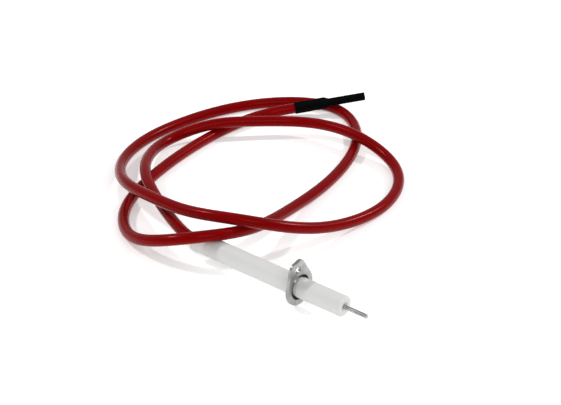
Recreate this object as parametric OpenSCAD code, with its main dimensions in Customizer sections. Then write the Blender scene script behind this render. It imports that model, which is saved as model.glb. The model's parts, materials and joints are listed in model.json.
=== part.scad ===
// Ignition electrode on its high-voltage lead.
// X runs along the electrode with the spark tip at +X, and z = 0 is the surface it lies on.

/* [Insulator] */
// Length of the ceramic tube
insulator_len = 107; // [100:0.5:120]
// Outside diameter of the ceramic tube
insulator_d = 12; // [11.5:0.1:12.4]
// How far the ceramic tube stands out in front of the flange
nose_len = 30.5; // [22:0.5:40]
// Chamfer round the rim of the nose
nose_chamfer = 0.9; // [0.3:0.1:1.4]
// Diameter of the shallow waist that the flange's packing and clip sit in
waist_d = 11.2; // [10.8:0.1:11.4]

/* [Electrode rod] */
// Diameter of the metal rod
rod_d = 2.5; // [2:0.1:3]
// How far the rod stands out of the nose
rod_reach = 15; // [8:0.5:25]

/* [Flange] */
// Outside diameter of the flange ring
ring_d = 21.5; // [20.5:0.1:22.5]
// Thickness of the flange plate
flange_t = 1.8; // [1.5:0.1:2.5]
// Diameter of the hole that the ceramic tube passes through
flange_hole_d = 15; // [14.4:0.1:16]
// Distance from the electrode's axis to the end of the ear
ear_reach = 17; // [16:0.1:18]
// Width of the ear at its blunt end
ear_w = 11; // [9:0.1:12]
// Corner radius of the ear
ear_corner = 3.2; // [2:0.1:4]
// How far the ear leans over towards -Y, in degrees
ear_lean = 9.5; // [0:0.5:20]
// Diameter of the bolt hole in the ear
bolt_hole_d = 4.4; // [4:0.1:5]
// Distance from the electrode's axis to the bolt hole
bolt_offset = 11.9; // [11.5:0.1:12.5]

/* [Lead] */
// Outside diameter of the lead
lead_d = 7; // [6:0.5:7]
// Diameter over the glass braid under the jacket
braid_d = 5.2; // [4.8:0.1:5.4]
// Diameter of the lead's inner insulation
core_d = 4.8; // [4:0.1:4.8]
// Diameter of the stranded conductor
conductor_d = 1.8; // [1.4:0.1:1.8]

/* [Terminal] */
// Outside diameter of the sleeve over the end of the lead
sleeve_d = 8; // [7.6:0.1:8]
// Length of the sleeve
sleeve_len = 23; // [22:0.5:26]
// Outside diameter of the shroud round the push-on terminal
shroud_d = 5.4; // [5:0.1:5.4]
// Length over the sleeve and the shroud together
terminal_len = 48; // [46:0.5:50]
// Outside diameter of the terminal socket
socket_d = 3.8; // [3.4:0.1:3.8]
// Bore of the terminal socket
socket_bore_d = 2.4; // [2:0.1:2.6]
// Depth of the terminal socket's bore
socket_depth = 14; // [10:0.5:15]

/* [Hidden] */
$fn = 72;

// Stations along X. The electrode is centred on x = 0 between the lead's mouth and the tip.
overall_len = insulator_len + rod_reach;
mouth_x = -overall_len / 2;
nose_x = mouth_x + insulator_len;
tip_x = nose_x + rod_reach;
seat_x = nose_x - nose_len;
axis_z = ring_d / 2;

// Inside the ceramic tube, measured forward from the mouth
seal_depth = 10;
jacket_depth = 25;
braid_depth = 26;
core_depth = 31;
ferrule_start = 32;
ferrule_len = 28;
crimp_depth = 12.5;
chamber_depth = 62;
seal_wall = 0.8;
slip = 0.05;
ferrule_d = 4;
chamber_d = core_d + 0.2;
cement_d = 4.8;
cement_depth = 2.5;

// Clip behind the flange, and its tongue through the flange hole
clip_t = 0.6;
clip_d = 19;
tongue_angle = 120;
tongue_sweep = 29;
tongue_rise = 0.35;
ring_recess = 0.9;
waist_lead = 0.9;

// Along the terminal, measured from the end of the free lead
jacket_strip = 12;
braid_strip = 13;
core_strip = 15.5;
shroud_start = 16;
socket_start = 17;
barrel_len = 9;
mouth_setback = 2;
groove_setback = 3;
spring_wire = 0.6;
wall_step = 1.4;

// The free lead is a smooth cubic spline that these points steer. It leaves the mouth, crosses
// the returning lead, rounds the back and the right, passes over the ceramic tube's end twice,
// and ends in the terminal, which leans on the outer turn.
route = [[-61, 0, 10.75], [-72, 0.8, 10.75], [-101.5, 15, 10.5], [-139, 36, 12],
         [-159, 62, 8], [-170, 90, 3.5], [-152.5, 116.5, 12],
         [-130.5, 136.5, 11.5], [-107, 162, 9.5], [-71, 163, 13], [-40, 162, 5],
         [-17, 143, 3.5], [-6, 110, 3.5], [-11, 77, 4.5], [-18, 42, 14.5],
         [-38, 10, 29.5], [-74, 5, 22.5], [-107, 9, 20], [-139, 17.5, 14],
         [-169, 45, 5.5], [-182, 79, 3.5], [-180, 113, 3.5], [-170, 151, 3.5],
         [-148, 184, 3.5], [-115, 203, 3.5], [-82.5, 185, 3.5],
         [-62, 152.5, 3.5], [-51, 110, 3.5], [-47, 68, 6], [-37, 23, 16],
         [-47, -9.5, 23.5], [-75, -21.5, 14.5], [-103, -16, 4],
         [-129.5, 6.5, 3.5], [-142, 43, 3.5], [-149, 81, 3.5], [-151, 118, 3.5],
         [-148, 148, 3.5], [-140, 165, 4.5], [-130, 175, 6.5]];
rings_per_span = 2;
lead_sides = 12;

route_last = len(route) - 1;
lead_end = route[route_last];
end_step = lead_end - route[route_last - 1];
terminal_turn = atan2(end_step[1], end_step[0]);
terminal_rise = atan2(end_step[2], norm([end_step[0], end_step[1]]));

// Points before and after the list make the spline start and end on its first and last points.
function steer(i) =
    i < 0 ? 2 * route[0] - route[1] :
    i > route_last ? 2 * route[route_last] - route[route_last - 1] :
    route[i];
function lead_point(i, t) =
    (pow(1 - t, 3) * steer(i - 1)
     + (3 * pow(t, 3) - 6 * pow(t, 2) + 4) * steer(i)
     + (-3 * pow(t, 3) + 3 * pow(t, 2) + 3 * t + 1) * steer(i + 1)
     + pow(t, 3) * steer(i + 2)) / 6;
function lead_heading(i, t) =
    unit(-pow(1 - t, 2) * steer(i - 1)
         + (3 * pow(t, 2) - 4 * t) * steer(i)
         + (-3 * pow(t, 2) + 2 * t + 1) * steer(i + 1)
         + pow(t, 2) * steer(i + 2));
function unit(v) = v / norm(v);
// One ring of the tube, square to the lead
function ring_points(centre, heading, r, sides) =
    let (side = unit(cross(heading, [0, 0, 1])), up = cross(side, heading))
    [for (j = [0:sides - 1])
        centre + r * (cos(360 * j / sides) * side + sin(360 * j / sides) * up)];

// Puts local X, Y, Z along Y, Z, X, with the origin on the electrode's axis at x
module on_axis(x) {
    translate([x, 0, axis_z]) rotate([90, 0, 90]) children();
}

// Puts local Z along the terminal, at s from the end of the free lead
module on_terminal(s) {
    translate(lead_end) rotate([0, 90 - terminal_rise, terminal_turn])
        translate([0, 0, s]) children();
}

// A round bar, or a tube when it has a bore
module tube(d, bore_d, length) {
    difference() {
        cylinder(d = d, h = length);
        if (bore_d > 0) translate([0, 0, -1]) cylinder(d = bore_d, h = length + 2);
    }
}

module ceramic_insulator() {
    outer = insulator_d / 2;
    seal_r = lead_d / 2 + seal_wall;
    jacket_r = lead_d / 2 + slip;
    rod_r = rod_d / 2 + slip;
    rear_chamfer = 0.5;
    waist_start = seat_x - flange_t - clip_t - mouth_x;
    waist_end = seat_x + waist_lead - mouth_x;
    color("white") on_axis(mouth_x) rotate_extrude($fn = 96) polygon([
        [seal_r, 0],
        [outer - rear_chamfer, 0],
        [outer, rear_chamfer],
        [outer, waist_start],
        [waist_d / 2, waist_start],
        [waist_d / 2, waist_end],
        [outer, waist_end],
        [outer, insulator_len - nose_chamfer],
        [outer - nose_chamfer, insulator_len],
        [cement_d / 2, insulator_len],
        [cement_d / 2, insulator_len - cement_depth],
        [rod_r, insulator_len - cement_depth],
        [rod_r, chamber_depth],
        [chamber_d / 2, chamber_depth],
        [chamber_d / 2, braid_depth + 1],
        [jacket_r, braid_depth + 1],
        [jacket_r, seal_depth],
        [seal_r, seal_depth]]);
}

// Cement that locks the rod in the nose, dished in towards the rod
module nose_cement() {
    dish = 0.5;
    color("ivory") on_axis(nose_x - cement_depth) rotate_extrude() polygon([
        [rod_d / 2, 0],
        [cement_d / 2, 0],
        [cement_d / 2, cement_depth],
        [rod_d / 2, cement_depth - dish]]);
}

module electrode_rod() {
    start_x = mouth_x + ferrule_start + ferrule_len - crimp_depth;
    tip_round = 0.3;
    rod_r = rod_d / 2;
    length = tip_x - start_x;
    color("lightsteelblue") on_axis(start_x) rotate_extrude() polygon([
        [0, 0],
        [rod_r, 0],
        [rod_r, length - tip_round],
        [rod_r - tip_round, length],
        [0, length]]);
}

// Joins the rod to the conductor, with two crimped waists at each end
module crimp_ferrule() {
    crimp_ring_w = 1.6;
    crimp_ring_t = 0.25;
    color("silver") on_axis(mouth_x + ferrule_start) difference() {
        cylinder(d = ferrule_d, h = ferrule_len);
        translate([0, 0, -1]) cylinder(d = conductor_d, h = crimp_depth + 1);
        translate([0, 0, ferrule_len - crimp_depth]) cylinder(d = rod_d, h = crimp_depth + 1);
        for (z = [3, 7, ferrule_len - 7 - crimp_ring_w, ferrule_len - 3 - crimp_ring_w])
            translate([0, 0, z])
                tube(ferrule_d + 1, ferrule_d - 2 * crimp_ring_t, crimp_ring_w);
    }
}

// Ring and ear in one outline. The ear's flanks are tangent to the ring and to its corners.
module flange_outline() {
    ring_r = ring_d / 2;
    corner = [ear_w / 2 - ear_corner, ear_reach - ear_corner];
    flank = atan2(corner[1], corner[0]) - acos((ring_r - ear_corner) / norm(corner));
    out = [cos(flank), sin(flank)];
    on_ring = ring_r * out;
    on_corner = corner + ear_corner * out;
    circle(r = ring_r, $fn = 120);
    polygon([on_ring, on_corner, [corner[0], ear_reach], [-corner[0], ear_reach],
             [-on_corner[0], on_corner[1]], [-on_ring[0], on_ring[1]], [0, 0]]);
    for (side = [-1, 1]) translate([side * corner[0], corner[1]]) circle(r = ear_corner);
}

module mounting_flange() {
    color("darkgray") on_axis(seat_x - flange_t) rotate([0, 0, ear_lean]) difference() {
        linear_extrude(flange_t) flange_outline();
        translate([0, 0, -1]) cylinder(d = flange_hole_d, h = flange_t + 2);
        translate([0, bolt_offset, -1]) cylinder(d = bolt_hole_d, h = flange_t + 2);
    }
}

// The tongue's wedge of the gap between the ceramic tube and the flange hole
module tongue_wedge(extra, length) {
    reach = flange_hole_d;
    from = tongue_angle - tongue_sweep / 2 - extra;
    to = tongue_angle + tongue_sweep / 2 + extra;
    linear_extrude(length) polygon([
        [0, 0],
        reach * [cos(from), sin(from)],
        reach * [cos(tongue_angle), sin(tongue_angle)],
        reach * [cos(to), sin(to)]]);
}

module packing_ring() {
    length = flange_t - ring_recess;
    notch_margin = 2;
    color("black") on_axis(seat_x - flange_t) difference() {
        tube(flange_hole_d, waist_d, length);
        translate([0, 0, -1]) tongue_wedge(notch_margin, length + 2);
    }
}

// Push-on washer that grips the ceramic tube behind the flange, and its bent tongue
module retaining_clip() {
    color("gainsboro") on_axis(seat_x - flange_t - clip_t) {
        tube(clip_d, waist_d, clip_t);
        intersection() {
            tube(flange_hole_d, waist_d, clip_t + flange_t + tongue_rise);
            tongue_wedge(0, clip_t + flange_t + tongue_rise);
        }
    }
}

// Silicone that seals the lead in the mouth of the ceramic tube
module mouth_seal() {
    color("whitesmoke") on_axis(mouth_x) tube(lead_d + 2 * seal_wall, lead_d, seal_depth);
}

module lead_jacket_root() {
    color("darkred") on_axis(mouth_x) tube(lead_d, braid_d, jacket_depth);
}

module lead_braid_root() {
    color("wheat") on_axis(mouth_x) tube(braid_d, core_d, braid_depth);
}

module lead_core_root() {
    color("mistyrose") on_axis(mouth_x) tube(core_d, conductor_d, core_depth);
}

module lead_conductor_root() {
    color("peru") on_axis(mouth_x) cylinder(d = conductor_d, h = ferrule_start + crimp_depth);
}

module lead_cable() {
    stations = [for (i = [0:route_last - 1]) for (k = [0:rings_per_span - 1])
        [i, k / rings_per_span]];
    rings = concat(
        [for (s = stations) ring_points(lead_point(s[0], s[1]), lead_heading(s[0], s[1]),
                                        lead_d / 2, lead_sides)],
        [ring_points(lead_end, unit(end_step), lead_d / 2, lead_sides)]);
    last = len(rings) - 1;
    start_cap = [for (j = [0:lead_sides - 1]) j];
    end_cap = [for (j = [lead_sides - 1:-1:0]) last * lead_sides + j];
    walls = [for (i = [0:last - 1]) for (j = [0:lead_sides - 1])
        let (a = i * lead_sides + j, b = i * lead_sides + (j + 1) % lead_sides)
        each [[a, a + lead_sides, b], [b, a + lead_sides, b + lead_sides]]];
    color("firebrick") polyhedron(
        points = [for (r = rings) each r],
        faces = concat([start_cap], walls, [end_cap]));
}

module lead_jacket_end() {
    color("darkred") on_terminal(0) tube(lead_d, braid_d, jacket_strip);
}

module lead_braid_end() {
    color("wheat") on_terminal(0) tube(braid_d, core_d, braid_strip);
}

module lead_core_end() {
    color("mistyrose") on_terminal(0) tube(core_d, conductor_d, core_strip);
}

module lead_conductor_end() {
    color("peru") on_terminal(0) cylinder(d = conductor_d, h = socket_start + barrel_len);
}

// Black sleeve that grips the lead's jacket and the back of the shroud
module lead_sleeve() {
    outer = sleeve_d / 2;
    shroud_r = shroud_d / 2;
    shoulder = sleeve_len - wall_step;
    color("#202020") on_terminal(0) rotate_extrude() polygon([
        [lead_d / 2, 0],
        [outer, 0],
        [outer, shoulder],
        [shroud_r + 0.5, sleeve_len],
        [shroud_r, sleeve_len],
        [shroud_r, shroud_start],
        [lead_d / 2, jacket_strip + 1]]);
}

module terminal_shroud() {
    outer = shroud_d / 2;
    bore = socket_d / 2 + slip;
    rim = 0.3;
    length = terminal_len - shroud_start;
    color("#202020") on_terminal(shroud_start) rotate_extrude() polygon([
        [bore, 0],
        [outer, 0],
        [outer, length - rim],
        [outer - rim, length],
        [bore, length]]);
}

// One turned piece: a crimp barrel at the back and a slit push-on socket at the front
module terminal_socket() {
    barrel_d = 3.2;
    web = 2;
    slit_w = 0.6;
    slit_len = 8;
    length = terminal_len - mouth_setback - socket_start;
    groove_z = length - groove_setback - spring_wire;
    color("goldenrod") on_terminal(socket_start) difference() {
        union() {
            cylinder(d = barrel_d, h = length);
            translate([0, 0, barrel_len + web]) cylinder(d = socket_d, h = length - barrel_len - web);
        }
        translate([0, 0, -1]) cylinder(d = conductor_d, h = barrel_len + 1);
        translate([0, 0, length - socket_depth]) cylinder(d = socket_bore_d, h = socket_depth + 1);
        translate([0, 0, groove_z]) tube(socket_d + 1, socket_d - spring_wire, spring_wire);
        translate([0, -slit_w / 2, length - slit_len]) cube([socket_d, slit_w, slit_len + 1]);
    }
}

// Round wire ring that keeps the slit socket closed on its pin
module socket_spring() {
    gap = 0.8;
    start = terminal_len - mouth_setback - groove_setback - spring_wire;
    color("silver") on_terminal(start) difference() {
        tube(socket_d, socket_d - spring_wire, spring_wire);
        translate([-socket_d, -gap / 2, -1]) cube([socket_d, gap, spring_wire + 2]);
    }
}

ceramic_insulator();
nose_cement();
electrode_rod();
crimp_ferrule();
mounting_flange();
packing_ring();
retaining_clip();
mouth_seal();
lead_jacket_root();
lead_braid_root();
lead_core_root();
lead_conductor_root();
lead_cable();
lead_jacket_end();
lead_braid_end();
lead_core_end();
lead_conductor_end();
lead_sleeve();
terminal_shroud();
terminal_socket();
socket_spring();
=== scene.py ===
import json
import bpy
from math import asin, atan2, cos, hypot, pi, radians, sin
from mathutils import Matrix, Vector


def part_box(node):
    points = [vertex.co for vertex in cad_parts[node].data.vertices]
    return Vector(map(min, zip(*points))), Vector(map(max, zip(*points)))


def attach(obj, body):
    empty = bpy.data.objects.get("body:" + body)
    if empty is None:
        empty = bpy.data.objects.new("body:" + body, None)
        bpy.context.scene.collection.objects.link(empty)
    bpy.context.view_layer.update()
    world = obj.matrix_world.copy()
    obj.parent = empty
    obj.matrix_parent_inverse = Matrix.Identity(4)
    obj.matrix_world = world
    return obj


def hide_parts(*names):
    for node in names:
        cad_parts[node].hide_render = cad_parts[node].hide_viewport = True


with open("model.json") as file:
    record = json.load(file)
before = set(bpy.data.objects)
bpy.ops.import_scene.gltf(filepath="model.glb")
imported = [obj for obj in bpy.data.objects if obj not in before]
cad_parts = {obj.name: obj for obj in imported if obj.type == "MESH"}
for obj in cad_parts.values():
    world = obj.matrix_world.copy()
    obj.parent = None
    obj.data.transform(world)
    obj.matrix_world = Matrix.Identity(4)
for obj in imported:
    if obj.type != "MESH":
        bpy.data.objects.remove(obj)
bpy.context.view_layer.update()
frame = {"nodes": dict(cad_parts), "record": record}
mm = 0.001

# A long lens from the front right, looking down at the whole object
cameraSetup = {
    "place": (0.4616, -0.5603, 0.4777),
    "pitch": 60.0,
    "turn": 39.4,
    "lens": 100.0,
}


def addCamera(setup):
    bpy.ops.object.camera_add(
        location=setup["place"],
        rotation=(radians(setup["pitch"]), 0, radians(setup["turn"])))
    camera = bpy.context.object
    camera.name = "productCamera"
    camera.data.lens = setup["lens"]
    bpy.context.scene.camera = camera


addCamera(cameraSetup)
print("camera placed")


def clearSelection():
    if bpy.context.object and bpy.context.object.mode != "OBJECT":
        bpy.ops.object.mode_set(mode="OBJECT")
    bpy.ops.object.select_all(action="DESELECT")


def pick(piece):
    clearSelection()
    piece.select_set(True)
    bpy.context.view_layer.objects.active = piece


def bakePlace(piece):
    pick(piece)
    bpy.ops.object.transform_apply(location=True, rotation=True, scale=True)


def cleanMesh(piece, mergeBelow=0.005 * mm):
    pick(piece)
    bpy.ops.object.mode_set(mode="EDIT")
    bpy.ops.mesh.select_all(action="SELECT")
    bpy.ops.mesh.remove_doubles(threshold=mergeBelow)
    bpy.ops.mesh.normals_make_consistent(inside=False)
    bpy.ops.object.mode_set(mode="OBJECT")


def applyModifier(piece, kind, **settings):
    pick(piece)
    bpy.ops.object.modifier_add(type=kind)
    modifier = piece.modifiers[-1]
    for setting, value in settings.items():
        setattr(modifier, setting, value)
    bpy.ops.object.modifier_apply(modifier=modifier.name)


def roundEdges(piece, width, segments=3, sharpest=30):
    applyModifier(piece, "BEVEL", width=width, segments=segments, limit_method="ANGLE",
                  angle_limit=radians(sharpest))


def smooth(piece, angle=32):
    pick(piece)
    bpy.ops.object.shade_smooth_by_angle(angle=radians(angle))


# Places that every piece is built from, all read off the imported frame
def span(node):
    low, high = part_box(node)
    return Vector(low), Vector(high)


def radiusOf(node):
    low, high = span(node)
    return (high.z - low.z) / 2


ceramicLow, ceramicHigh = span("ceramic_insulator")
flangeLow, flangeHigh = span("mounting_flange")
clipLow, clipHigh = span("retaining_clip")
rodLow, rodHigh = span("electrode_rod")
mouthX = ceramicLow.x
noseX = ceramicHigh.x
tipX = rodHigh.x
seatX = flangeHigh.x
flangeBackX = flangeLow.x
clipBackX = clipLow.x
axisHeight = (ceramicLow.z + ceramicHigh.z) / 2
tubeRadius = radiusOf("ceramic_insulator")
rodRadius = radiusOf("electrode_rod")
sealRadius = radiusOf("mouth_seal")
cementRadius = radiusOf("nose_cement")
mounts = {mount["name"]: mount for mount in frame["record"]["mounts"]}

# The lead is one cord, from the ceramic tube's mouth to the terminal. Its route in metres
# steers a smooth spline that starts on the first point and ends on the last.
leadCord = {
    "radius": 3.5 * mm,
    "roundness": 18,  # gives 40 sides
    "sides": 40,
    "ringsPerPoint": 12,
    "length": 1.303,
    "route": [
        (-0.061, 0.0, 0.01075), (-0.072, 0.0008, 0.01075), (-0.1015, 0.015, 0.0105),
        (-0.139, 0.036, 0.012), (-0.159, 0.062, 0.008), (-0.17, 0.09, 0.0035),
        (-0.1525, 0.1165, 0.012), (-0.1305, 0.1365, 0.0115), (-0.107, 0.162, 0.0095),
        (-0.071, 0.163, 0.013), (-0.04, 0.162, 0.005), (-0.017, 0.143, 0.0035),
        (-0.006, 0.11, 0.0035), (-0.011, 0.077, 0.0045), (-0.018, 0.042, 0.0145),
        (-0.038, 0.01, 0.0295), (-0.074, 0.005, 0.0225), (-0.107, 0.009, 0.02),
        (-0.139, 0.0175, 0.014), (-0.169, 0.045, 0.0055), (-0.182, 0.079, 0.0035),
        (-0.18, 0.113, 0.0035), (-0.17, 0.151, 0.0035), (-0.148, 0.184, 0.0035),
        (-0.115, 0.203, 0.0035), (-0.0825, 0.185, 0.0035), (-0.062, 0.1525, 0.0035),
        (-0.051, 0.11, 0.0035), (-0.047, 0.068, 0.006), (-0.037, 0.023, 0.016),
        (-0.047, -0.0095, 0.0235), (-0.075, -0.0215, 0.0145), (-0.103, -0.016, 0.004),
        (-0.1295, 0.0065, 0.0035), (-0.142, 0.043, 0.0035), (-0.149, 0.081, 0.0035),
        (-0.151, 0.118, 0.0035), (-0.148, 0.148, 0.0035), (-0.14, 0.165, 0.0045),
        (-0.13, 0.175, 0.0065)],
}


def layLead(setup):
    route = [Vector(point) for point in setup["route"]]
    steering = [2 * route[0] - route[1]] + route + [2 * route[-1] - route[-2]]
    clearSelection()
    bpy.ops.curve.primitive_bezier_curve_add()
    cord = bpy.context.object
    cord.name = "siliconeLead"
    spline = cord.data.splines[0]
    spline.bezier_points.add(len(route) - 2)
    for knot, before, here, after in zip(spline.bezier_points, steering, route, steering[2:]):
        knot.handle_left_type = "FREE"
        knot.handle_right_type = "FREE"
        knot.co = (before + 4 * here + after) / 6
        knot.handle_left = (2 * here + before) / 3
        knot.handle_right = (2 * here + after) / 3
    cord.data.dimensions = "3D"
    cord.data.resolution_u = setup["ringsPerPoint"]
    cord.data.bevel_depth = setup["radius"]
    cord.data.bevel_resolution = setup["roundness"]
    bpy.ops.object.convert(target="MESH")
    return bpy.context.object


def mapAlongLead(cord, setup):
    # UV in metres: the distance along the lead, and the distance round it
    sides = setup["sides"]
    corners = [vertex.co for vertex in cord.data.vertices]
    rings = [corners[start:start + sides] for start in range(0, len(corners), sides)]
    centres = [sum(ring, Vector()) / sides for ring in rings]
    travelled = [0.0]
    for behind, ahead in zip(centres, centres[1:]):
        travelled.append(travelled[-1] + (ahead - behind).length)
    sideWidth = 2 * pi * setup["radius"] / sides
    while cord.data.uv_layers:
        cord.data.uv_layers.remove(cord.data.uv_layers[0])
    layer = cord.data.uv_layers.new(name="leadRun")
    for face in cord.data.polygons:
        turns = [cord.data.loops[loop].vertex_index % sides for loop in face.loop_indices]
        crossesSeam = max(turns) - min(turns) > 1
        for loop, turn in zip(face.loop_indices, turns):
            ring = cord.data.loops[loop].vertex_index // sides
            around = sides if crossesSeam and turn == 0 else turn
            layer.data[loop].uv = (travelled[ring], around * sideWidth)
    return centres


def closeEnds(piece):
    pick(piece)
    bpy.ops.object.mode_set(mode="EDIT")
    bpy.ops.mesh.select_all(action="SELECT")
    bpy.ops.mesh.fill_holes(sides=0)
    bpy.ops.mesh.normals_make_consistent(inside=False)
    bpy.ops.object.mode_set(mode="OBJECT")


siliconeLead = layLead(leadCord)
leadCentres = mapAlongLead(siliconeLead, leadCord)
closeEnds(siliconeLead)
smooth(siliconeLead, 60)
print("lead laid,", len(leadCentres), "rings")


def arc(centreX, centreRadius, radius, start, end, steps=6):
    # Stations on a round edge. Angles are in degrees, 0 towards +X and 90 outwards
    turns = [radians(start + (end - start) * step / steps) for step in range(steps + 1)]
    return [(centreX + radius * cos(turn), centreRadius + radius * sin(turn)) for turn in turns]


def turnPiece(name, outline, sides=96, solid=False, height=axisHeight):
    # Turns (x, radius) stations round the X axis: one circle, extruded and scaled step by step
    clearSelection()
    lastX, lastRadius = outline[0]
    bpy.ops.mesh.primitive_circle_add(
        vertices=sides, radius=lastRadius, fill_type="NGON" if solid else "NOTHING",
        location=(lastX, 0, 0), rotation=(0, pi / 2, 0))
    piece = bpy.context.object
    piece.name = name
    bakePlace(piece)
    bpy.ops.object.mode_set(mode="EDIT")
    bpy.ops.mesh.select_all(action="SELECT")
    for x, radius in outline[1:]:
        bpy.ops.mesh.extrude_region_move(
            TRANSFORM_OT_translate={"value": (x - lastX, 0, 0)})
        grow = radius / lastRadius
        bpy.ops.transform.resize(value=(1, grow, grow), center_override=(x, 0, 0))
        lastX, lastRadius = x, radius
    bpy.ops.object.mode_set(mode="OBJECT")
    piece.location = (0, 0, height)
    bakePlace(piece)
    cleanMesh(piece)
    return piece


# Ceramic tube: one turned body with its stepped bore
ceramic = {
    "rearRound": 0.5 * mm,
    "noseRound": 0.9 * mm,
    "innerRound": 0.15 * mm,
    "waistRadius": 5.6 * mm,
    "waistLead": 0.9 * mm,
    "slip": 0.05 * mm,
    "cementDepth": 2.5 * mm,
    "sealDepth": 10.0 * mm,
    "chamberRadius": 2.5 * mm,
    "chamberMargin": 1.0 * mm,
}


def makeCeramicTube(setup):
    rear = setup["rearRound"]
    nose = setup["noseRound"]
    inner = setup["innerRound"]
    rodBore = rodRadius + setup["slip"]
    jacketBore = radiusOf("lead_jacket_root") + setup["slip"]
    waistStart = clipBackX
    waistEnd = seatX + setup["waistLead"]
    cementFloor = noseX - setup["cementDepth"]
    sealFloor = mouthX + setup["sealDepth"]
    jacketEnd = span("lead_braid_root")[1].x + setup["chamberMargin"]
    chamberEnd = span("crimp_ferrule")[1].x + 2 * setup["chamberMargin"]
    outline = arc(mouthX + inner, sealRadius + inner, inner, 270, 180, 3)
    outline += arc(mouthX + rear, tubeRadius - rear, rear, 180, 90)
    outline += [(waistStart - inner, tubeRadius), (waistStart, tubeRadius - inner)]
    outline += [(waistStart, setup["waistRadius"]), (waistEnd, setup["waistRadius"])]
    outline += [(waistEnd, tubeRadius - inner), (waistEnd + inner, tubeRadius)]
    outline += arc(noseX - nose, tubeRadius - nose, nose, 90, 0)
    outline += arc(noseX - inner, cementRadius + inner, inner, 0, -90, 3)
    outline += [(cementFloor, cementRadius), (cementFloor, rodBore), (chamberEnd, rodBore)]
    outline += [(chamberEnd, setup["chamberRadius"]), (jacketEnd, setup["chamberRadius"])]
    outline += [(jacketEnd, jacketBore), (sealFloor, jacketBore), (sealFloor, sealRadius)]
    outline += outline[:1]
    piece = turnPiece("ceramicTube", outline)
    smooth(piece)
    return piece


ceramicTube = makeCeramicTube(ceramic)
print("ceramic tube turned")

# Cement in the nose, dished towards the rod and left a little rough
cement = {
    "dish": 0.5 * mm,
    "lip": 0.06 * mm,
    "roughness": 0.035 * mm,
    "rings": 7,
    "calmEdge": 0.02,
    "faceDepth": 0.6 * mm,
}


def makeNoseCement(setup):
    floor = span("nose_cement")[0].x
    face = noseX - setup["lip"]
    reach = cementRadius - rodRadius
    outline = [(floor, rodRadius), (floor, cementRadius)]
    for ring in range(setup["rings"] + 1):
        inward = ring / setup["rings"]
        outline.append((face - setup["dish"] * sin(inward * pi / 2), cementRadius - reach * inward))
    outline += outline[:1]
    piece = turnPiece("noseCement", outline, sides=72)
    pick(piece)
    for vertex in piece.data.vertices:
        radius = hypot(vertex.co.y, vertex.co.z - axisHeight)
        onFace = vertex.co.x > face - setup["faceDepth"]
        offRod = radius > rodRadius * (1 + setup["calmEdge"])
        offWall = radius < cementRadius * (1 - setup["calmEdge"])
        vertex.select = onFace and offRod and offWall
    for part in list(piece.data.edges) + list(piece.data.polygons):
        part.select = False
    bpy.ops.object.mode_set(mode="EDIT")
    bpy.ops.mesh.select_mode(type="VERT")
    bpy.ops.transform.vertex_random(offset=setup["roughness"], seed=4)
    bpy.ops.object.mode_set(mode="OBJECT")
    smooth(piece, 50)
    return piece


noseCement = makeNoseCement(cement)

# Electrode rod: drawn wire with a rounded spark tip
rod = {"tipRound": 0.35 * mm, "noseStation": 3.0 * mm}


def makeElectrodeRod(setup):
    tip = setup["tipRound"]
    outline = [(rodLow.x, rodRadius - tip), (rodLow.x + tip, rodRadius)]
    outline += [(noseX - setup["noseStation"], rodRadius)]
    outline += arc(tipX - tip, rodRadius - tip, tip, 90, 0)
    piece = turnPiece("electrodeRod", outline, sides=64, solid=True)
    smooth(piece)
    return piece


electrodeRod = makeElectrodeRod(rod)
print("rod and cement turned")

# Mounting flange: a pressed plate, a ring and one blunt ear
flange = {
    "earReach": 17.0 * mm,
    "earWidth": 11.0 * mm,
    "earCorner": 3.2 * mm,
    "ringSides": 160,
    "cornerSides": 64,
    "holeSides": 128,
    "edgeRound": 0.28 * mm,
    "cutMargin": 1.0 * mm,
}


def addRound(name, radius, startX, endX, place, sides):
    # A bar along X between two stations, centred on place = (y, z)
    clearSelection()
    bpy.ops.mesh.primitive_cylinder_add(
        vertices=sides, radius=radius, depth=endX - startX,
        location=((startX + endX) / 2, place[0], place[1]), rotation=(0, pi / 2, 0))
    piece = bpy.context.object
    piece.name = name
    bakePlace(piece)
    return piece


def cutWith(piece, tool, operation="DIFFERENCE"):
    applyModifier(piece, "BOOLEAN", object=tool, operation=operation, solver="EXACT")
    toolMesh = tool.data
    bpy.data.objects.remove(tool)
    bpy.data.meshes.remove(toolMesh)


def makeFlangeBlank(setup, ringRadius, lean):
    # Discs stand for the ring and for the ear's two corners, and a hull joins them
    thickness = seatX - flangeBackX
    cornerOut = setup["earWidth"] / 2 - setup["earCorner"]
    cornerUp = setup["earReach"] - setup["earCorner"]
    blank = addRound("mountingFlange", ringRadius, -thickness / 2, thickness / 2, (0, 0),
                     setup["ringSides"])
    bpy.ops.object.mode_set(mode="EDIT")
    for side in (-1, 1):
        bpy.ops.mesh.primitive_cylinder_add(
            vertices=setup["cornerSides"], radius=setup["earCorner"], depth=thickness,
            location=(0, side * cornerOut, cornerUp), rotation=(0, pi / 2, 0))
    bpy.ops.mesh.select_all(action="SELECT")
    bpy.ops.mesh.convex_hull()
    bpy.ops.mesh.select_all(action="SELECT")
    bpy.ops.mesh.dissolve_limited(angle_limit=radians(1))
    bpy.ops.object.mode_set(mode="OBJECT")
    blank.rotation_euler = (lean, 0, 0)
    blank.location = ((seatX + flangeBackX) / 2, 0, axisHeight)
    bakePlace(blank)
    return blank


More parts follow.
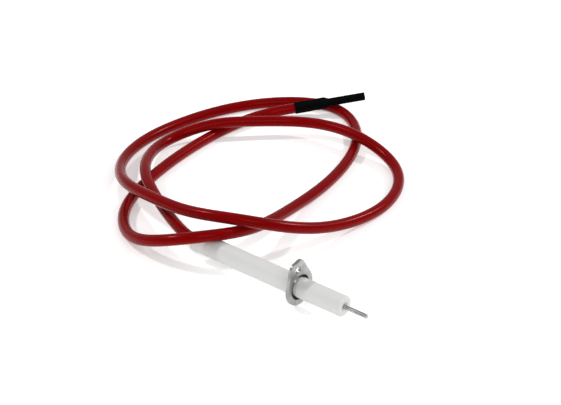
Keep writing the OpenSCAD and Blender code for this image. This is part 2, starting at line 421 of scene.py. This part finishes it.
def makeMountingFlange(setup):
    bolt = mounts["bolt_hole"]
    boltY, boltZ = bolt["pos_m"][1:]
    lean = atan2(-boltY, boltZ - axisHeight)
    margin = setup["cutMargin"]
    piece = makeFlangeBlank(setup, axisHeight - flangeLow.z, lean)
    tubeHole = addRound("tubeHole", radiusOf("packing_ring"), flangeBackX - margin,
                        seatX + margin, (0, axisHeight), setup["holeSides"])
    cutWith(piece, tubeHole)
    boltHole = addRound("boltHole", bolt["dims"]["r_mm"] * mm, flangeBackX - margin,
                        seatX + margin, (boltY, boltZ), setup["holeSides"] // 2)
    cutWith(piece, boltHole)
    cleanMesh(piece)
    roundEdges(piece, setup["edgeRound"])
    smooth(piece)
    return piece


mountingFlange = makeMountingFlange(flange)
print("flange cut")

# Push-on clip behind the flange: a slotted washer, and a tongue bent into the flange hole
clip = {
    "tongueAngle": 120.0,
    "tongueSweep": 29.0,
    "slots": 8,
    "slotWidth": 0.7 * mm,
    "slotReach": 1.7 * mm,
    "edgeRound": 0.1 * mm,
}


def makeClipWasher(setup):
    innerRadius = ceramic["waistRadius"]
    outerRadius = radiusOf("retaining_clip")
    backX = clipBackX
    frontX = flangeBackX
    outline = [(backX, innerRadius), (backX, outerRadius), (frontX, outerRadius),
               (frontX, innerRadius), (backX, innerRadius)]
    washer = turnPiece("retainingClip", outline, sides=128)
    for slot in range(setup["slots"]):
        turn = 2 * pi * (slot + 0.5) / setup["slots"]
        middle = innerRadius + setup["slotReach"] / 2
        clearSelection()
        bpy.ops.mesh.primitive_cube_add(
            size=1, rotation=(turn, 0, 0),
            location=((backX + frontX) / 2, -middle * sin(turn), axisHeight + middle * cos(turn)))
        cutter = bpy.context.object
        cutter.scale = (4 * (frontX - backX), setup["slotWidth"], setup["slotReach"])
        bakePlace(cutter)
        cutWith(washer, cutter)
    return washer


def makeClipTongue(setup):
    # A strip on edge, spun round the electrode's axis
    innerRadius = ceramic["waistRadius"]
    outerRadius = radiusOf("packing_ring")
    startTurn = radians(setup["tongueAngle"] - setup["tongueSweep"] / 2)
    clearSelection()
    bpy.ops.mesh.primitive_plane_add(size=1, rotation=(pi / 2, 0, 0))
    tongue = bpy.context.object
    tongue.scale = (clipHigh.x - clipBackX, outerRadius - innerRadius, 1)
    bakePlace(tongue)
    tongue.location = ((clipHigh.x + clipBackX) / 2, 0, (innerRadius + outerRadius) / 2)
    bakePlace(tongue)
    tongue.rotation_euler = (startTurn - pi / 2, 0, 0)
    tongue.location = (0, 0, axisHeight)
    bakePlace(tongue)
    bpy.ops.object.mode_set(mode="EDIT")
    bpy.ops.mesh.select_all(action="SELECT")
    bpy.ops.mesh.spin(steps=10, angle=-radians(setup["tongueSweep"]),
                      center=(0, 0, axisHeight), axis=(1, 0, 0))
    bpy.ops.object.mode_set(mode="OBJECT")
    closeEnds(tongue)
    return tongue


def makeRetainingClip(setup):
    washer = makeClipWasher(setup)
    tongue = makeClipTongue(setup)
    cleanMesh(tongue)
    cutWith(washer, tongue, "UNION")
    cleanMesh(washer)
    roundEdges(washer, setup["edgeRound"], segments=2)
    smooth(washer)
    return washer


retainingClip = makeRetainingClip(clip)
print("clip made")

# Bead of silicone that closes the mouth round the lead
seal = {"proud": 1.3 * mm, "spread": 0.7 * mm, "rings": 10}


def makeMouthSeal(setup):
    leadRadius = leadCord["radius"]
    innerEnd = span("mouth_seal")[1].x
    spreadRadius = sealRadius + setup["spread"]
    outline = [(innerEnd, leadRadius), (innerEnd, sealRadius), (mouthX, sealRadius)]
    for ring in range(setup["rings"] + 1):
        turn = ring / setup["rings"] * pi / 2
        outline.append((mouthX - setup["proud"] * sin(turn),
                        leadRadius + (spreadRadius - leadRadius) * cos(turn)))
    outline += outline[:1]
    piece = turnPiece("mouthSeal", outline, sides=80)
    smooth(piece, 50)
    return piece


mouthSeal = makeMouthSeal(seal)

# Terminal: the sleeve and the shroud are turned along X, then laid along the lead's last heading
terminal = {
    "sleeveRadius": 4.0 * mm,
    "sleeveLength": 23.0 * mm,
    "sleeveRound": 0.45 * mm,
    "sleeveSlip": 0.02 * mm,
    "sleeveLip": 0.3 * mm,
    "shoulder": 2.6 * mm,
    "shoulderSteps": 8,
    "shrinkDepth": 0.14 * mm,
    "shrinkStart": 10.0 * mm,
    "shrinkLength": 6.0 * mm,
    "shrinkSteps": 12,
    "jacketStop": 13.0 * mm,
    "shroudRadius": 2.7 * mm,
    "shroudStart": 16.0 * mm,
    "shroudEnd": 48.0 * mm,
    "shroudBore": 1.95 * mm,
    "shroudRound": 0.3 * mm,
}


def layOnTerminal(piece):
    route = [Vector(point) for point in leadCord["route"]]
    heading = route[-1] - route[-2]
    rise = asin(heading.z / heading.length)
    piece.rotation_euler = (0, -rise, atan2(heading.y, heading.x))
    piece.location = route[-1]
    bakePlace(piece)


def makeLeadSleeve(setup):
    leadRadius = leadCord["radius"]
    edge = setup["sleeveRound"]
    outer = setup["sleeveRadius"]
    length = setup["sleeveLength"]
    shroudRadius = setup["shroudRadius"]
    shoulderStart = length - setup["shoulder"]
    shoulderDrop = outer - shroudRadius - setup["sleeveLip"]
    outline = [(0.0, leadRadius + setup["sleeveSlip"])]
    outline += arc(edge / 2, outer - edge / 2, edge / 2, 180, 90, 4)
    for step in range(setup["shrinkSteps"] + 1):
        along = step / setup["shrinkSteps"]
        sunk = setup["shrinkDepth"] * sin(pi * along)
        outline.append((setup["shrinkStart"] + setup["shrinkLength"] * along, outer - sunk))
    for step in range(setup["shoulderSteps"] + 1):
        along = step / setup["shoulderSteps"]
        ease = (1 - cos(pi * along)) / 2
        outline.append((shoulderStart + setup["shoulder"] * along, outer - shoulderDrop * ease))
    outline += [(length, shroudRadius), (setup["shroudStart"], shroudRadius)]
    outline += [(setup["jacketStop"], leadRadius), outline[0]]
    piece = turnPiece("leadSleeve", outline, sides=80, height=0)
    layOnTerminal(piece)
    smooth(piece, 40)
    return piece


def makeTerminalShroud(setup):
    edge = setup["shroudRound"]
    outer = setup["shroudRadius"]
    bore = setup["shroudBore"]
    start = setup["shroudStart"]
    end = setup["shroudEnd"]
    outline = [(start, bore), (start, outer)]
    outline += arc(end - edge, outer - edge, edge, 90, 0)
    outline += arc(end - edge / 2, bore + edge / 2, edge / 2, 0, -90, 3)
    outline += outline[:1]
    piece = turnPiece("terminalShroud", outline, sides=80, height=0)
    layOnTerminal(piece)
    smooth(piece, 40)
    return piece


leadSleeve = makeLeadSleeve(terminal)
terminalShroud = makeTerminalShroud(terminal)
print("terminal made")


# Shader building
def linked(tree, source, target):
    tree.links.new(source, target)


def newGroup(name, inputs, outputs):
    group = bpy.data.node_groups.new(name, "ShaderNodeTree")
    for label, kind, value in inputs:
        socket = group.interface.new_socket(label, in_out="INPUT", socket_type=kind)
        if value is not None:
            socket.default_value = value
    for label, kind in outputs:
        group.interface.new_socket(label, in_out="OUTPUT", socket_type=kind)
    return group, group.nodes.new("NodeGroupInput"), group.nodes.new("NodeGroupOutput")


def addNode(tree, kind, inputs=None, **settings):
    node = tree.nodes.new(kind)
    for setting, value in settings.items():
        setattr(node, setting, value)
    for label, value in (inputs or {}).items():
        node.inputs[label].default_value = value
    return node


def addNoise(tree, vector, detail=3.0, roughness=0.55):
    noise = addNode(tree, "ShaderNodeTexNoise", {"Detail": detail, "Roughness": roughness})
    linked(tree, vector, noise.inputs["Vector"])
    return noise


def buildMottle():
    # Blends two close colours in soft patches
    group, start, end = newGroup("softMottle", [
        ("Vector", "NodeSocketVector", None),
        ("Main Color", "NodeSocketColor", (0.5, 0.5, 0.5, 1)),
        ("Patch Color", "NodeSocketColor", (0.4, 0.4, 0.4, 1)),
        ("Scale", "NodeSocketFloat", 200.0),
        ("Amount", "NodeSocketFloat", 1.0),
    ], [("Color", "NodeSocketColor"), ("Mask", "NodeSocketFloat")])
    noise = addNoise(group, start.outputs["Vector"], 4.0)
    linked(group, start.outputs["Scale"], noise.inputs["Scale"])
    spread = addNode(group, "ShaderNodeMapRange", {"From Min": 0.35, "From Max": 0.65})
    strength = addNode(group, "ShaderNodeMath", operation="MULTIPLY")
    blend = addNode(group, "ShaderNodeMix", data_type="RGBA")
    linked(group, noise.outputs["Fac"], spread.inputs["Value"])
    linked(group, spread.outputs["Result"], strength.inputs[0])
    linked(group, start.outputs["Amount"], strength.inputs[1])
    linked(group, strength.outputs["Value"], blend.inputs["Factor"])
    linked(group, start.outputs["Main Color"], blend.inputs["A"])
    linked(group, start.outputs["Patch Color"], blend.inputs["B"])
    linked(group, blend.outputs["Result"], end.inputs["Color"])
    linked(group, strength.outputs["Value"], end.inputs["Mask"])
    return group


def buildGrain():
    # Fine even grain for height, and a roughness that wanders between two values
    group, start, end = newGroup("fineGrain", [
        ("Vector", "NodeSocketVector", None),
        ("Grain Scale", "NodeSocketFloat", 4000.0),
        ("Patch Scale", "NodeSocketFloat", 300.0),
        ("Smooth", "NodeSocketFloat", 0.3),
        ("Rough", "NodeSocketFloat", 0.5),
    ], [("Height", "NodeSocketFloat"), ("Roughness", "NodeSocketFloat")])
    grain = addNoise(group, start.outputs["Vector"], 2.0)
    linked(group, start.outputs["Grain Scale"], grain.inputs["Scale"])
    patch = addNoise(group, start.outputs["Vector"], 3.0)
    linked(group, start.outputs["Patch Scale"], patch.inputs["Scale"])
    spread = addNode(group, "ShaderNodeMapRange", {"From Min": 0.3, "From Max": 0.7})
    linked(group, patch.outputs["Fac"], spread.inputs["Value"])
    linked(group, start.outputs["Smooth"], spread.inputs["To Min"])
    linked(group, start.outputs["Rough"], spread.inputs["To Max"])
    linked(group, grain.outputs["Fac"], end.inputs["Height"])
    linked(group, spread.outputs["Result"], end.inputs["Roughness"])
    return group


def buildDrawLines():
    # Lines left by drawing or extruding: noise that is stretched along the first axis
    group, start, end = newGroup("drawLines", [
        ("Vector", "NodeSocketVector", None),
        ("Along", "NodeSocketFloat", 20.0),
        ("Across", "NodeSocketFloat", 4000.0),
    ], [("Height", "NodeSocketFloat"), ("Mask", "NodeSocketFloat")])
    stretch = addNode(group, "ShaderNodeCombineXYZ")
    linked(group, start.outputs["Along"], stretch.inputs["X"])
    linked(group, start.outputs["Across"], stretch.inputs["Y"])
    linked(group, start.outputs["Across"], stretch.inputs["Z"])
    scaled = addNode(group, "ShaderNodeVectorMath", operation="MULTIPLY")
    linked(group, start.outputs["Vector"], scaled.inputs[0])
    linked(group, stretch.outputs["Vector"], scaled.inputs[1])
    noise = addNoise(group, scaled.outputs["Vector"], 2.0)
    noise.inputs["Scale"].default_value = 1.0
    spread = addNode(group, "ShaderNodeMapRange", {"From Min": 0.4, "From Max": 0.7})
    linked(group, noise.outputs["Fac"], spread.inputs["Value"])
    linked(group, noise.outputs["Fac"], end.inputs["Height"])
    linked(group, spread.outputs["Result"], end.inputs["Mask"])
    return group


def buildDust():
    # A little pale dust on the faces that look up
    group, start, end = newGroup("settledDust", [
        ("Vector", "NodeSocketVector", None),
        ("Color", "NodeSocketColor", (0.5, 0.5, 0.5, 1)),
        ("Dust Color", "NodeSocketColor", (0.7, 0.66, 0.6, 1)),
        ("Amount", "NodeSocketFloat", 0.05),
    ], [("Color", "NodeSocketColor"), ("Mask", "NodeSocketFloat")])
    surface = addNode(group, "ShaderNodeNewGeometry")
    facing = addNode(group, "ShaderNodeSeparateXYZ")
    linked(group, surface.outputs["Normal"], facing.inputs["Vector"])
    upward = addNode(group, "ShaderNodeMapRange", {"From Min": 0.3, "From Max": 1.0})
    linked(group, facing.outputs["Z"], upward.inputs["Value"])
    noise = addNoise(group, start.outputs["Vector"], 5.0, 0.7)
    noise.inputs["Scale"].default_value = 500.0
    speck = addNode(group, "ShaderNodeMapRange", {"From Min": 0.45, "From Max": 0.75})
    linked(group, noise.outputs["Fac"], speck.inputs["Value"])
    lying = addNode(group, "ShaderNodeMath", operation="MULTIPLY")
    linked(group, upward.outputs["Result"], lying.inputs[0])
    linked(group, speck.outputs["Result"], lying.inputs[1])
    strength = addNode(group, "ShaderNodeMath", operation="MULTIPLY")
    linked(group, lying.outputs["Value"], strength.inputs[0])
    linked(group, start.outputs["Amount"], strength.inputs[1])
    blend = addNode(group, "ShaderNodeMix", data_type="RGBA")
    linked(group, strength.outputs["Value"], blend.inputs["Factor"])
    linked(group, start.outputs["Color"], blend.inputs["A"])
    linked(group, start.outputs["Dust Color"], blend.inputs["B"])
    linked(group, blend.outputs["Result"], end.inputs["Color"])
    linked(group, strength.outputs["Value"], end.inputs["Mask"])
    return group


softMottle = buildMottle()
fineGrain = buildGrain()
drawLines = buildDrawLines()
settledDust = buildDust()
print("shader groups built")


class Finish:
    # One material under construction: its tree, its shader and the coordinates it reads
    def __init__(self, name, gloss, uvMap=None):
        self.material = bpy.data.materials.new(name)
        self.material.use_nodes = True
        self.tree = self.material.node_tree
        self.shader = self.tree.nodes["Principled BSDF"]
        for label, value in gloss.items():
            self.shader.inputs[label].default_value = value
        if uvMap:
            self.place = addNode(self.tree, "ShaderNodeUVMap", uv_map=uvMap).outputs["UV"]
        else:
            self.place = addNode(self.tree, "ShaderNodeTexCoord").outputs["Object"]
        self.normal = None

    def use(self, group, values):
        node = addNode(self.tree, "ShaderNodeGroup", node_tree=group)
        linked(self.tree, self.place, node.inputs["Vector"])
        for label, value in values.items():
            if isinstance(value, bpy.types.NodeSocket):
                linked(self.tree, value, node.inputs[label])
            else:
                node.inputs[label].default_value = value
        return node

    def bump(self, height, strength, distance):
        node = addNode(self.tree, "ShaderNodeBump", {"Strength": strength, "Distance": distance})
        linked(self.tree, height, node.inputs["Height"])
        if self.normal:
            linked(self.tree, self.normal, node.inputs["Normal"])
        self.normal = node.outputs["Normal"]
        linked(self.tree, self.normal, self.shader.inputs["Normal"])

    def paint(self, color):
        linked(self.tree, color, self.shader.inputs["Base Color"])

    def roughen(self, roughness):
        linked(self.tree, roughness, self.shader.inputs["Roughness"])


def opaque(red, green, blue):
    return (red, green, blue, 1)


def plainFinish(name, setup, uvMap=None):
    # Mottled colour, dust, wandering roughness and grain; drawn lines where the setup has them
    finish = Finish(name, setup["gloss"], uvMap)
    mottle = finish.use(softMottle, {
        "Main Color": setup["color"], "Patch Color": setup["patch"],
        "Scale": setup["patchScale"]})
    dust = finish.use(settledDust, {
        "Color": mottle.outputs["Color"], "Amount": setup.get("dust", 0.03)})
    finish.paint(dust.outputs["Color"])
    low, high = setup["roughness"]
    grain = finish.use(fineGrain, {
        "Grain Scale": setup["grainScale"], "Patch Scale": setup["patchScale"],
        "Smooth": low, "Rough": high})
    finish.roughen(grain.outputs["Roughness"])
    finish.bump(grain.outputs["Height"], setup["grainStrength"], setup["grainDepth"])
    if "lines" in setup:
        lines = finish.use(drawLines, {
            "Along": setup["lines"]["along"], "Across": setup["lines"]["across"]})
        finish.bump(lines.outputs["Height"], setup["lines"]["strength"], setup["lines"]["depth"])
    return finish.material


redSilicone = {
    "color": opaque(0.22, 0.0008, 0.0016),
    "patch": opaque(0.185, 0.0006, 0.0012),
    "patchScale": 40.0,
    "roughness": (0.19, 0.25),
    "grainScale": 2600.0,
    "grainStrength": 0.1,
    "grainDepth": 0.02 * mm,
    "dust": 0.004,
    "gloss": {"Specular IOR Level": 0.15, "Specular Tint": opaque(1.0, 0.2, 0.2)},
    "lines": {"along": 12.0, "across": 1500.0, "strength": 0.08, "depth": 0.02 * mm},
}
satinCeramic = {
    "color": opaque(0.71, 0.71, 0.70),
    "patch": opaque(0.685, 0.69, 0.675),
    "patchScale": 60.0,
    "roughness": (0.48, 0.60),
    "grainScale": 1800.0,
    "grainStrength": 0.12,
    "grainDepth": 0.03 * mm,
    "dust": 0.03,
    "gloss": {"Specular IOR Level": 0.4},
}
castCement = {
    "color": opaque(0.72, 0.71, 0.68),
    "patch": opaque(0.60, 0.58, 0.54),
    "patchScale": 900.0,
    "roughness": (0.75, 0.95),
    "grainScale": 5000.0,
    "grainStrength": 0.8,
    "grainDepth": 0.08 * mm,
    "gloss": {"Specular IOR Level": 0.3},
}
satinStainless = {
    "color": opaque(0.46, 0.46, 0.445),
    "patch": opaque(0.33, 0.335, 0.325),
    "patchScale": 260.0,
    "roughness": (0.34, 0.48),
    "grainScale": 5200.0,
    "grainStrength": 0.35,
    "grainDepth": 0.03 * mm,
    "dust": 0.04,
    "gloss": {"Metallic": 1.0},
}
drawnAlloy = {
    "color": opaque(0.52, 0.52, 0.53),
    "patch": opaque(0.36, 0.35, 0.36),
    "patchScale": 420.0,
    "roughness": (0.26, 0.42),
    "grainScale": 6000.0,
    "grainStrength": 0.2,
    "grainDepth": 0.02 * mm,
    "gloss": {"Metallic": 1.0},
    "lines": {"along": 60.0, "across": 9000.0, "strength": 0.5, "depth": 0.03 * mm},
}
springSteel = {
    "color": opaque(0.66, 0.66, 0.64),
    "patch": opaque(0.55, 0.55, 0.54),
    "patchScale": 500.0,
    "roughness": (0.24, 0.36),
    "grainScale": 5000.0,
    "grainStrength": 0.2,
    "grainDepth": 0.02 * mm,
    "gloss": {"Metallic": 1.0},
}
platedSteel = {
    "color": opaque(0.62, 0.61, 0.58),
    "patch": opaque(0.52, 0.50, 0.46),
    "patchScale": 600.0,
    "roughness": (0.28, 0.42),
    "grainScale": 4500.0,
    "grainStrength": 0.2,
    "grainDepth": 0.02 * mm,
    "gloss": {"Metallic": 1.0},
    "lines": {"along": 80.0, "across": 5000.0, "strength": 0.3, "depth": 0.02 * mm},
}
graphitePacking = {
    "color": opaque(0.010, 0.010, 0.011),
    "patch": opaque(0.022, 0.022, 0.023),
    "patchScale": 1500.0,
    "roughness": (0.65, 0.85),
    "grainScale": 2500.0,
    "grainStrength": 0.9,
    "grainDepth": 0.12 * mm,
    "dust": 0.0,
    "gloss": {"Specular IOR Level": 0.3},
}
clearSilicone = {
    "color": opaque(0.66, 0.64, 0.60),
    "patch": opaque(0.58, 0.55, 0.51),
    "patchScale": 500.0,
    "roughness": (0.22, 0.36),
    "grainScale": 1200.0,
    "grainStrength": 0.3,
    "grainDepth": 0.05 * mm,
    "gloss": {"Subsurface Weight": 0.3, "Subsurface Scale": 0.001},
}
coreSilicone = {
    "color": opaque(0.74, 0.56, 0.52),
    "patch": opaque(0.68, 0.50, 0.47),
    "patchScale": 300.0,
    "roughness": (0.40, 0.52),
    "grainScale": 3000.0,
    "grainStrength": 0.2,
    "grainDepth": 0.02 * mm,
    "gloss": {"Specular IOR Level": 0.4},
}
copperStrands = {
    "color": opaque(0.72, 0.36, 0.20),
    "patch": opaque(0.55, 0.25, 0.13),
    "patchScale": 900.0,
    "roughness": (0.25, 0.42),
    "grainScale": 5000.0,
    "grainStrength": 0.2,
    "grainDepth": 0.02 * mm,
    "gloss": {"Metallic": 1.0},
    "lines": {"along": 300.0, "across": 4000.0, "strength": 0.8, "depth": 0.1 * mm},
}
blackRubber = {
    "color": opaque(0.0018, 0.0018, 0.0020),
    "patch": opaque(0.0035, 0.0035, 0.0037),
    "patchScale": 300.0,
    "roughness": (0.62, 0.78),
    "grainScale": 3500.0,
    "grainStrength": 0.4,
    "grainDepth": 0.04 * mm,
    "dust": 0.002,
    "gloss": {"Specular IOR Level": 0.02},
}
blackPlastic = {
    "color": opaque(0.0015, 0.0015, 0.0017),
    "patch": opaque(0.0030, 0.0030, 0.0032),
    "patchScale": 400.0,
    "roughness": (0.50, 0.64),
    "grainScale": 4500.0,
    "grainStrength": 0.3,
    "grainDepth": 0.03 * mm,
    "dust": 0.004,
    "gloss": {"Specular IOR Level": 0.02},
}
turnedBrass = {
    "color": opaque(0.70, 0.50, 0.22),
    "patch": opaque(0.58, 0.40, 0.17),
    "patchScale": 500.0,
    "roughness": (0.24, 0.38),
    "grainScale": 4500.0,
    "grainStrength": 0.2,
    "grainDepth": 0.02 * mm,
    "gloss": {"Metallic": 1.0},
}
glassBraid = {
    "color": opaque(0.72, 0.67, 0.56),
    "patch": opaque(0.50, 0.46, 0.38),
    "patchScale": 1600.0,
    "roughness": (0.55, 0.75),
    "grainScale": 2500.0,
    "grainStrength": 0.6,
    "grainDepth": 0.08 * mm,
    "gloss": {"Specular IOR Level": 0.4},
    "lines": {"along": 500.0, "across": 3000.0, "strength": 0.6, "depth": 0.08 * mm},
}

leadRed = plainFinish("redSiliconeLead", redSilicone, uvMap="leadRun")
jacketRed = plainFinish("redSiliconeJacket", redSilicone)
ceramicWhite = plainFinish("satinCeramic", satinCeramic)
cementGrey = plainFinish("castCement", castCement)
flangeSteel = plainFinish("satinStainless", satinStainless)
rodAlloy = plainFinish("drawnAlloy", drawnAlloy)
clipSteel = plainFinish("springSteel", springSteel)
ferruleSteel = plainFinish("platedSteel", platedSteel)
packingBlack = plainFinish("graphitePacking", graphitePacking)
sealClear = plainFinish("clearSilicone", clearSilicone)
corePink = plainFinish("coreSilicone", coreSilicone)
wireCopper = plainFinish("copperStrands", copperStrands)
sleeveBlack = plainFinish("blackRubber", blackRubber)
shroudBlack = plainFinish("blackPlastic", blackPlastic)
socketBrass = plainFinish("turnedBrass", turnedBrass)
braidGlass = plainFinish("glassBraid", glassBraid)
print("materials built")


def dress(piece, material):
    piece.data.materials.clear()
    piece.data.materials.append(material)


def dressNode(node, material):
    # A CAD node keeps its mesh, and only its slots are filled
    for materialSlot in frame["nodes"][node].material_slots:
        materialSlot.material = material


newPieces = [
    (siliconeLead, leadRed, "red_silicone", "lead_cable"),
    (ceramicTube, ceramicWhite, "ceramic", "ceramic_insulator"),
    (noseCement, cementGrey, "cement", "nose_cement"),
    (electrodeRod, rodAlloy, "heat_alloy", "electrode_rod"),
    (mountingFlange, flangeSteel, "stainless", "mounting_flange"),
    (retainingClip, clipSteel, "spring_steel", "retaining_clip"),
    (mouthSeal, sealClear, "clear_silicone", "mouth_seal"),
    (leadSleeve, sleeveBlack, "black_rubber", "lead_sleeve"),
    (terminalShroud, shroudBlack, "black_plastic", "terminal_shroud"),
]
for piece, material, slotName, node in newPieces:
    dress(piece, material)
    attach(piece, "root")
    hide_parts(node)

keptNodes = {
    "crimp_ferrule": ferruleSteel,
    "packing_ring": packingBlack,
    "lead_jacket_root": jacketRed,
    "lead_braid_root": braidGlass,
    "lead_core_root": corePink,
    "lead_conductor_root": wireCopper,
    "lead_jacket_end": jacketRed,
    "lead_braid_end": braidGlass,
    "lead_core_end": corePink,
    "lead_conductor_end": wireCopper,
    "terminal_socket": socketBrass,
    "socket_spring": clipSteel,
}
for node, material in keptNodes.items():
    dressNode(node, material)

endPieces = [leadSleeve, terminalShroud]
endNodes = ["lead_jacket_end", "lead_braid_end", "lead_core_end", "lead_conductor_end",
            "terminal_socket", "socket_spring"]
endPieces += [frame["nodes"][node] for node in endNodes]
print("pieces dressed and declared")

# Studio: a pale lit floor, a small soft box on each side, a wide one in front and a little
# light from all round
studio = {
    "floorSize": 8.0,
    "floorColor": opaque(0.90, 0.90, 0.90),
    "floorGlow": 0.35,
    "floorRoughness": 0.9,
    "aim": (-0.06, 0.08, 0.0),
    "boxes": [
        {"name": "rightSoftBox", "place": (0.55, 1.10, 1.05), "size": 0.14, "power": 9.0},
        {"name": "leftSoftBox", "place": (-1.05, -0.45, 1.25), "size": 0.14, "power": 9.0},
        {"name": "frontSoftBox", "place": (1.25, -0.75, 1.20), "size": 1.1, "power": 10.0},
    ],
    "around": 0.4,
}


def addFloor(setup):
    clearSelection()
    bpy.ops.mesh.primitive_plane_add(size=setup["floorSize"], location=(0, 0, 0))
    floor = bpy.context.object
    floor.name = "paleFloor"
    material = bpy.data.materials.new("paleFloor")
    material.use_nodes = True
    shader = material.node_tree.nodes["Principled BSDF"]
    shader.inputs["Base Color"].default_value = setup["floorColor"]
    shader.inputs["Emission Color"].default_value = opaque(1.0, 1.0, 1.0)
    shader.inputs["Emission Strength"].default_value = setup["floorGlow"]
    shader.inputs["Roughness"].default_value = setup["floorRoughness"]
    shader.inputs["Specular IOR Level"].default_value = 0.0
    dress(floor, material)


def addSoftBox(setup, aim):
    toAim = Vector(aim) - Vector(setup["place"])
    clearSelection()
    bpy.ops.object.light_add(type="AREA", location=setup["place"],
                             rotation=toAim.to_track_quat("-Z", "Y").to_euler())
    light = bpy.context.object
    light.name = setup["name"]
    light.data.shape = "SQUARE"
    light.data.size = setup["size"]
    light.data.energy = setup["power"]


def lightAround(strength):
    world = bpy.data.worlds.new("softSurround")
    world.use_nodes = True
    surround = world.node_tree.nodes["Background"]
    surround.inputs["Color"].default_value = opaque(1.0, 1.0, 1.0)
    surround.inputs["Strength"].default_value = strength
    bpy.context.scene.world = world


addFloor(studio)
for softBox in studio["boxes"]:
    addSoftBox(softBox, studio["aim"])
lightAround(studio["around"])
bpy.context.scene.view_settings.view_transform = "Standard"
print("studio lit")
